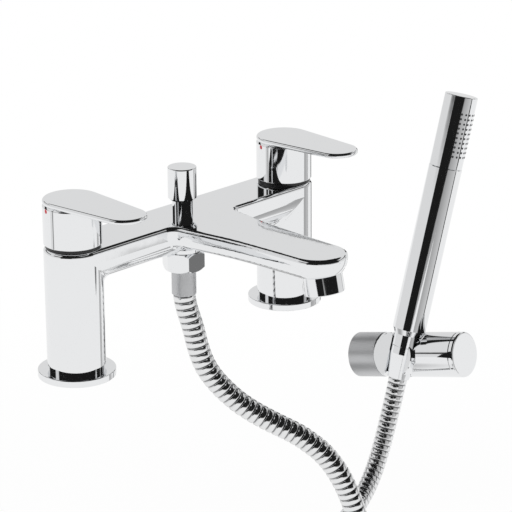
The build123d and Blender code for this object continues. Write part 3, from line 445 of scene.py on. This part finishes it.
def makeDot(name, side, shape):
    # A shallow dome on the drum: ring i has radius R sin a_i and stands out by the dome's height
    # times cos a_i, less the drum's own fall y^2 / 2 R beside its middle
    rise = np.linspace(0, math.pi / 2, shape["dotRings"] + 1)[1:, None]
    cosine, sine = circle(shape["dotSides"])
    across = shape["dotRadius"] * np.sin(rise)
    y, z = across * cosine, across * sine
    proud = shape["dotDome"] * np.cos(rise) - shape["dotSunk"]
    x = shape["drumRadius"] + proud - y * y / (2 * shape["drumRadius"])
    turn = math.radians(shape["dotAngle"])
    points = np.stack([
        side * shape["centreX"] + x * math.cos(turn) - y * math.sin(turn),
        x * math.sin(turn) + y * math.cos(turn),
        z + shape["dotLevel"],
    ], -1).reshape(-1, 3)
    # Its rings open from the pole towards the drum, so its faces run the other way round
    faces = [face[::-1] for face in tubeFaces(shape["dotRings"], shape["dotSides"])]
    return addMesh(name, points, faces, finishes["red"], True)


# Diverter spring, which is squeezed as the knob lifts
springShape = {
    "bottom": 0.0702,
    "top": 0.0924,
    "radius": 0.00395,
    "wire": 0.00045,
    "turns": 5,
    "stepsPerTurn": 36,
    "sides": 12,
    "lift": 0.007,  # of the knob, which squeezes it
}


def makeSpring(name, shape):
    # Ring i stands square to the helix (R cos t, R sin t, low + climb t): its first axis points
    # away from the helix's axis, and its second is tangent x first
    count = shape["turns"] * shape["stepsPerTurn"] + 1
    turn = np.linspace(0, shape["turns"] * 2 * math.pi, count)
    radius, wire = shape["radius"], shape["wire"]
    low, high = shape["bottom"] + wire, shape["top"] - wire
    climb = (high - low) / turn[-1]
    cosine, sine = np.cos(turn), np.sin(turn)
    centre = np.stack([radius * cosine, radius * sine, np.linspace(low, high, count)], -1)
    tangent = unit(np.stack([-radius * sine, radius * cosine, np.full(count, climb)], -1))
    outward = np.stack([cosine, sine, np.zeros(count)], -1)
    points = ringsAlong(
        centre, outward, np.cross(tangent, outward), np.full(count, wire), shape["sides"],
    )
    faces = tubeFaces(count, shape["sides"])
    return addMesh(name, points, faces, finishes["steel"], allButCaps(faces))


# Hose: its route from the ferrule down, round the coil and up to the cone nut
hoseShape = {
    "diameter": 0.014,
    "length": 1.546,
    "fall": [
        (0, 0, 0.0277),
        (0.0004, -0.0004, 0.0205),
        (0.0036, -0.0037, 0.0055),
        (0.0056, -0.0058, -0.0090),
        (0.0089, -0.0092, -0.0225),
        (0.0157, -0.0161, -0.0355),
        (0.0250, -0.0257, -0.0480),
        (0.0375, -0.0385, -0.0590),
        (0.0510, -0.0524, -0.0690),
        (0.0640, -0.0660, -0.0855),
        (0.0740, -0.0760, -0.1150),
        (0.0795, -0.0820, -0.1550),
        (0.0805, -0.0835, -0.2030),
        (0.0896, -0.0640, -0.2405),
        (0.1053, -0.0302, -0.2620),
        (0.1222, 0.0060, -0.2620),
    ],
    "coilAxis": (0.19065, -0.01047),
    "coilRadius": 0.069,
    "coilStart": 155.0,  # degrees
    "coilTurned": 762.0,
    "coilSteps": 34,
    "coilFloor": -0.262,
    "coilPitch": 0.0146,
    "rise": [
        (0.1969, 0.0672, -0.2310),
        (0.2360, 0.0820, -0.2380),
        (0.2770, 0.0940, -0.2280),
        (0.30341, 0.10036, -0.19714),
        (0.31633, 0.09763, -0.14685),
    ],
    "resolution": 28,
}
# One rib of the hose: (share of the pitch, radius), valley first, carried along the route
ribShape = {
    "pitch": 0.0044,
    "profile": [
        (0.00, 0.0062), (0.05, 0.0062), (0.08, 0.0067), (0.14, 0.00693), (0.28, 0.00703),
        (0.50, 0.00706), (0.72, 0.00703), (0.86, 0.00693), (0.92, 0.0067), (0.95, 0.0062),
    ],
    "sides": 24,
    "tangentStep": 0.001,
    "lean": (0.7071, 0.7071, 0),  # where a ring's first axis leans on an upright stretch
}
# Bright rolled strip, with painted shade that darkens the valleys between the ribs
hoseLook = {
    "colour": (0.84, 0.845, 0.85),
    # The valley colour is painted shade: a darker colour put into the grooves between the ribs
    "valley": (0.30, 0.30, 0.305),
    "low": 0.06,
    "high": 0.16,
    "scale": 70.0,
    "height": 0.0005,
}


def hosePoints(shape):
    # Point i of the coil is at (i + 1/2) steps round, on a circle that is larger by as much as
    # the spline cuts inside it
    step = math.radians(shape["coilTurned"] / shape["coilSteps"])
    start = math.radians(shape["coilStart"])
    radius = shape["coilRadius"] / math.cos(step / 2)
    turned = (np.arange(shape["coilSteps"]) + 0.5) * step
    coil = np.stack([
        shape["coilAxis"][0] + radius * np.cos(start - turned),
        shape["coilAxis"][1] + radius * np.sin(start - turned),
        shape["coilFloor"] + shape["coilPitch"] * turned / (2 * math.pi),
    ], -1)
    return shape["fall"] + coil.tolist() + shape["rise"]


def hoseSpline(points, resolution):
    # The smooth line that Blender's own NURBS spline draws from these control points
    data = bpy.data.curves.new("hoseRoute", "CURVE")
    data.dimensions = "3D"
    data.resolution_u = resolution
    spline = data.splines.new("NURBS")
    spline.points.add(len(points) - 1)
    spline.points.foreach_set("co", [value for point in points for value in (*point, 1.0)])
    spline.order_u = 3
    spline.use_endpoint_u = True
    route = addObject("hoseRoute", data)
    mesh = bpy.data.meshes.new_from_object(route)
    line = np.zeros(len(mesh.vertices) * 3)
    mesh.vertices.foreach_get("co", line)
    bpy.data.objects.remove(route)
    bpy.data.meshes.remove(mesh)
    line = line.reshape(-1, 3)
    if np.linalg.norm(line[0] - points[0]) > np.linalg.norm(line[-1] - points[0]):
        line = line[::-1]
    return line


def makeHose(name, shape, rib, look):
    # The rib's profile is repeated along the line, and at each station s_i a ring of its radius
    # stands square to the line, with u_i nearest to the upright or, where the line itself is
    # upright, to the lean, and v_i = tangent x u_i
    line = hoseSpline(hosePoints(shape), shape["resolution"])
    along = np.append(0, np.cumsum(np.linalg.norm(np.diff(line, axis=0), axis=1)))
    total = along[-1]
    count = int(total / rib["pitch"])
    share, radius = np.array(rib["profile"]).T
    stations = (np.arange(count)[:, None] + share).ravel() * (total / count)
    stations = np.append(stations, total)
    radii = np.append(np.tile(radius, count), radius[0])

    def lineAt(length):
        return np.stack([np.interp(length, along, line[:, axis]) for axis in range(3)], -1)

    step = rib["tangentStep"]
    tangent = unit(lineAt(stations + step) - lineAt(stations - step))
    upright = np.abs(tangent[:, 2:])
    lean = upright * np.array(rib["lean"]) + (1 - upright) * np.array((0, 0, 1))
    u = unit(lean - (lean * tangent).sum(1)[:, None] * tangent)
    points = ringsAlong(lineAt(stations), u, np.cross(tangent, u), radii, rib["sides"])
    faces = tubeFaces(len(stations), rib["sides"])
    hose = addMesh(name, points, faces, makeMetal("rolledHose", look), allButCaps(faces))
    crest = (radii - radii.min()) / (radii.max() - radii.min())  # 0 in a valley, 1 on a rib
    attribute = hose.data.attributes.new("crest", "FLOAT", "POINT")
    attribute.data.foreach_set("value", np.repeat(crest, rib["sides"]).astype(np.float32))
    print("hose length", round(total, 4), "ribs", count, "faces", len(faces))
    return hose, line


# Cast corner: the rounding under the bridge where its belly meets a pillar's inner side
cornerShape = {
    "centreX": 0.090,
    "pillarRadius": 0.01765,
    "under": 0.0589,
    "belly": 0.014,
    "flatHalf": 0.00365,
    "radius": 0.0062,
    "leastRadius": 0.0001,  # added everywhere, so that no arc closes up
    "taper": 4,
    "span": 84.0,  # degrees each way round the pillar
    "columns": 61,
    "steps": 14,
    "samples": 401,
    "buried": 0.0006,
}


def makeCorner(name, side, shape):
    # In the upright plane at angle t round the pillar, a ball of radius r = R (1 - (t / T)^taper)
    # touches the pillar's line at rho = P and the belly's curve
    # h(rho) = under + b - sqrt(b^2 - (|rho sin t| - f)^2). Its centre is at rho = P + r and
    # z = min(h(rho) - sqrt(r^2 - (rho - P - r)^2)). The piece is the ball's arc between the two,
    # closed by rows a little inside the casting.
    turn = np.radians(np.linspace(-shape["span"], shape["span"], shape["columns"]))
    pillar, belly, buried = shape["pillarRadius"], shape["belly"], shape["buried"]
    radius = shape["radius"] * (1 - (turn / turn.max()) ** shape["taper"]) + shape["leastRadius"]
    share = np.linspace(-1, 1, shape["samples"])[:, None]
    rho = pillar + radius + radius * share
    over = np.clip(np.abs(rho * np.sin(turn)) - shape["flatHalf"], 0, belly)
    height = shape["under"] + belly - np.sqrt(belly**2 - over**2)
    room = height - radius * np.sqrt(1 - share**2)
    level = room.min(0)
    end = np.arccos(share[room.argmin(0), 0])
    angle = math.pi + (end - math.pi) * np.linspace(0, 1, shape["steps"])[:, None]
    arcRho = pillar + radius + radius * np.cos(angle)
    arcZ = level + radius * np.sin(angle)
    inside = np.full((2, len(turn)), pillar - buried)
    rhos = np.concatenate([arcRho, arcRho[-1:], inside])
    heights = np.concatenate([arcZ, arcZ[-1:] + buried, arcZ[-1:] + buried, arcZ[:1]])
    x = side * (shape["centreX"] - rhos * np.cos(turn))
    y = rhos * np.sin(turn)
    rows, columns = x.shape
    points = np.stack([x, y, heights], -1).transpose(1, 0, 2).reshape(-1, 3)
    onArc = np.tile(np.arange(rows) < shape["steps"] - 1, columns - 1)
    smooth = np.append(onArc, [False, False])
    *quads, first, last = tubeFaces(columns, rows)
    faces = quads + [first[::-1], last[::-1]]  # its caps run the other way round than a tube's
    return addMesh(name, points, faces, finishes["chrome"], smooth)


for side, where in ((-1, "near"), (1, "far")):
    corner = makeCorner("castCorner_" + where, side, cornerShape)
    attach(corner, "mixer")
print("corners made")

for side, where in ((-1, "near"), (1, "far")):
    lever = makeLever("leverPlate_" + where, side, leverShape)
    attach(lever, "lever_" + where)
    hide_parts("lever_" + where)
    dot = makeDot("indexDot_" + where, side, leverShape)
    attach(dot, "lever_" + where)
    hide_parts("index_dot_" + where)
print("levers made")

spring = makeSpring("squeezedSpring", springShape)
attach(spring, "mixer")
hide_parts("diverter_spring")
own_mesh(spring)
print("spring made")

hose, hoseLine = makeHose("showerHose", hoseShape, ribShape, hoseLook)
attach(hose, "mixer")
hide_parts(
    "hose_outlet_ribbed", "hose_lower", "hose_coil", "hose_rise", "hose_handset_ribbed",
)
print("hose made")

# Floor: a round white table, plain white to the camera, with a soft shadow near its middle
floorLook = {
    "level": -0.269,
    "radius": 1.9,
    "centre": (0.06, 0.0),
    "rings": 24,
    "sides": 96,
    "white": (0.9, 0.9, 0.9),
    "share": 0.94,  # of plain white in what the camera and the metal see, near the middle
    "rim": (0.40, 0.9),  # distances between which that share rises to 1
    "mirrored": 0.93,  # level that the metal sees
    # Soft grey marks: (x, y, radius of the full grey, radius where it ends, its share of mirrored)
    "marks": [(0.21, 0.23, 0.04, 0.13, 0.42), (0.64, -0.68, 0.06, 0.09, 0.20)],
}


def makeFloor(look):
    # A disc, with ring i at radius R i / n. Its glow is 1 to the camera, and to the metal the
    # lowest of its level there and those of the marks; the rest is diffuse and takes the shadow.
    radius = look["radius"] * np.linspace(0, 1, look["rings"] + 1)[1:, None]
    cosine, sine = circle(look["sides"])
    x = look["centre"][0] + radius * cosine
    y = look["centre"][1] + radius * sine
    points = np.stack([x, y, np.full_like(x, look["level"])], -1).reshape(-1, 3)
    faces = tubeFaces(look["rings"], look["sides"])[:-1]

    material, tree = startMaterial("studioFloor")
    path = addNode(tree, "ShaderNodeLightPath").outputs
    place = addNode(tree, "ShaderNodeTexCoord").outputs["Object"]
    mirrored = look["mirrored"]
    for markX, markY, inner, outer, share in look["marks"]:
        away = addNode(
            tree, "ShaderNodeVectorMath", {0: place, 1: (markX, markY, look["level"])},
            operation="DISTANCE",
        ).outputs["Value"]
        mark = smoothStep(tree, away, inner, outer, share * look["mirrored"], look["mirrored"])
        mirrored = combine(tree, mirrored, mark, "MINIMUM")
    bright = combine(tree, path["Is Camera Ray"], mirrored, "MAXIMUM")
    seen = combine(tree, path["Is Camera Ray"], path["Is Glossy Ray"], "MAXIMUM")
    seen = combine(tree, seen, path["Is Transmission Ray"], "MAXIMUM")
    away = addNode(tree, "ShaderNodeVectorMath", {0: place}, operation="LENGTH").outputs["Value"]
    glowShare = combine(tree, seen, smoothStep(tree, away, *look["rim"], look["share"], 1.0))
    diffuse = addNode(tree, "ShaderNodeBsdfDiffuse", {"Color": (*look["white"], 1)})
    glow = addNode(tree, "ShaderNodeEmission", {"Color": (1, 1, 1, 1), "Strength": bright})
    endMaterial(tree, addNode(
        tree, "ShaderNodeMixShader", {0: glowShare, 1: diffuse.outputs[0], 2: glow.outputs[0]},
    ))
    addMesh("studioFloor", points, faces, material, False)


# Room: what the metal sees round it, by direction. side is how far to the camera's right, back
# how far behind the part, and rise how far up. A thing's edges say along which way, and between
# which two values, it goes from not there to there.
roomLook = {
    "ways": {"back": (0.715, 0.699, 0), "side": (0.699, -0.715, 0), "rise": (0, 0, 1)},
    "wall": 0.78,
    "curtain": 0.38,
    "dark": 0.012,
    "diffuse": 0.62,  # level that lights what isn't metal
    "camera": 1.0,  # level that the camera sees
    "things": [  # each one stands before those above it
        ("dark", [("back", 0.15, -0.05), ("rise", 0.11, 0.17)]),  # room on the camera's side
        ("dark", [("rise", 0.58, 0.66)]),  # ceiling
        # Screen high on the left, which the holder's top shows
        ("pale", [("side", -0.52, -0.62), ("rise", 0.40, 0.46), ("rise", 0.78, 0.70)]),
        # Rail round the room, which the feet of the pillars show
        ("dark", [("back", 0.82, 0.74), ("rise", 0.25, 0.28), ("rise", 0.43, 0.39)]),
        # Narrow gap at the far left, under the screen
        ("pale", [("side", -0.78, -0.84), ("back", -0.24, -0.18), ("back", 0.10, 0.04)]),
        # Door behind the camera
        ("dark", [("side", -0.76, -0.71), ("side", 0.02, -0.04), ("back", -0.55, -0.65)]),
    ],
    "curtainEdges": [("side", -0.04, 0.02), ("side", 1.04, 1.0), ("back", -0.04, -0.12)],
    "curtainFoot": (-0.055, -0.03),  # rise below which it has its own grey, and above is dark
}


def makeWorld(look):
    # Level = dark where the dark things are, and elsewhere the wall's or the curtain's
    world = bpy.data.worlds.new("studioWorld")
    world.use_nodes = True
    tree = world.node_tree
    tree.nodes.clear()
    place = addNode(tree, "ShaderNodeTexCoord").outputs["Generated"]
    ways = {
        way: addNode(
            tree, "ShaderNodeVectorMath", {0: place, 1: direction}, operation="DOT_PRODUCT",
        ).outputs["Value"]
        for way, direction in look["ways"].items()
    }

    def filled(edges):
        inside = 1.0
        for way, start, end in edges:
            inside = combine(tree, inside, smoothStep(tree, ways[way], start, end))
        return inside

    dark = 0.0
    for tone, edges in look["things"]:
        if tone == "dark":
            dark = combine(tree, dark, filled(edges), "MAXIMUM")
        else:
            dark = combine(tree, dark, combine(tree, 1.0, filled(edges), "SUBTRACT"))
    hung = smoothStep(tree, ways["rise"], *look["curtainFoot"], look["curtain"], look["dark"])
    pale = mixed(tree, filled(look["curtainEdges"]), look["wall"], hung)
    level = mixed(tree, dark, pale, look["dark"])
    path = addNode(tree, "ShaderNodeLightPath").outputs
    metal = combine(tree, path["Is Glossy Ray"], path["Is Transmission Ray"], "MAXIMUM")
    level = mixed(tree, metal, look["diffuse"], level)
    level = mixed(tree, path["Is Camera Ray"], level, look["camera"])
    glow = addNode(tree, "ShaderNodeBackground", {"Color": (1, 1, 1, 1), "Strength": level})
    addNode(tree, "ShaderNodeOutputWorld", {"Surface": glow.outputs[0]})
    bpy.context.scene.world = world


# Cards beside the handset, as a photographer stands them: only the metal sees them. Each has
# stripes across it, as (share of the width, level of grey).
cardSettings = {
    "flagCard": {
        "aim": (0.3573, 0.0889, 0.0127),
        "centre": (0.3018, 0.0661, 0.0127),
        "upright": (0.2486, -0.0526, 0.9672),
        "size": (0.050, 0.30),
        "stripes": [(0, 0.012), (1, 0.012)],
    },
    "greyCard": {
        "aim": (0.3573, 0.0889, 0.0127),
        "centre": (0.3670, -0.1510, -0.0520),
        "upright": (0.2486, -0.0526, 0.9672),
        "size": (0.25, 0.44),
        "stripes": [(0, 0.40), (0.87, 0.64), (0.871, 0.03), (1, 0.03)],
    },
}


def makeCard(name, settings):
    # Point (i, j) = centre + (share_i - 1/2) width across + (j - 1/2) height upright
    centre, upright = Vector(settings["centre"]), Vector(settings["upright"]).normalized()
    across = (Vector(settings["aim"]) - centre).cross(upright).normalized()
    if across.dot(Vector(cameraSettings["right"])) < 0:
        across = -across
    width, height = settings["size"]
    share, grey = np.array(settings["stripes"]).T
    sideways = (share - 0.5)[:, None, None] * width * np.array(across)
    upwards = np.array((-0.5, 0.5))[:, None] * height * np.array(upright)
    points = (np.array(centre) + sideways + upwards).reshape(-1, 3)
    faces = [(2 * i, 2 * i + 2, 2 * i + 3, 2 * i + 1) for i in range(len(share) - 1)]

    material, tree = startMaterial(name)
    level = addNode(tree, "ShaderNodeAttribute", attribute_name="level").outputs["Fac"]
    endMaterial(tree, addNode(
        tree, "ShaderNodeEmission", {"Color": (1, 1, 1, 1), "Strength": level},
    ))
    card = addMesh(name, points, faces, material, False)
    attribute = card.data.attributes.new("level", "FLOAT", "POINT")
    attribute.data.foreach_set("value", np.repeat(grey, 2).astype(np.float32))
    card.visible_camera = card.visible_diffuse = card.visible_shadow = False


# Lamps: one broad key from the upper left and a weaker one from the right, unseen by the metal
lampSettings = {
    "keyLamp": {"place": (-1.2, -0.4, 1.6), "aim": (0.05, 0, 0), "size": 1.4, "power": 16.0},
    "fillLamp": {"place": (0.9, -1.4, 1.1), "aim": (0.1, 0, -0.05), "size": 1.2, "power": 7.0},
}


def addLamp(name, settings):
    data = bpy.data.lights.new(name, "AREA")
    data.size = settings["size"]
    data.energy = settings["power"]
    lamp = addObject(name, data)
    lamp.location = settings["place"]
    towards = Vector(settings["aim"]) - Vector(settings["place"])
    lamp.rotation_euler = towards.to_track_quat("-Z", "Y").to_euler()
    lamp.visible_glossy = False


makeFloor(floorLook)
makeWorld(roomLook)
for name, settings in cardSettings.items():
    makeCard(name, settings)
for name, settings in lampSettings.items():
    addLamp(name, settings)
bpy.context.scene.view_settings.view_transform = "Standard"
print("studio set")
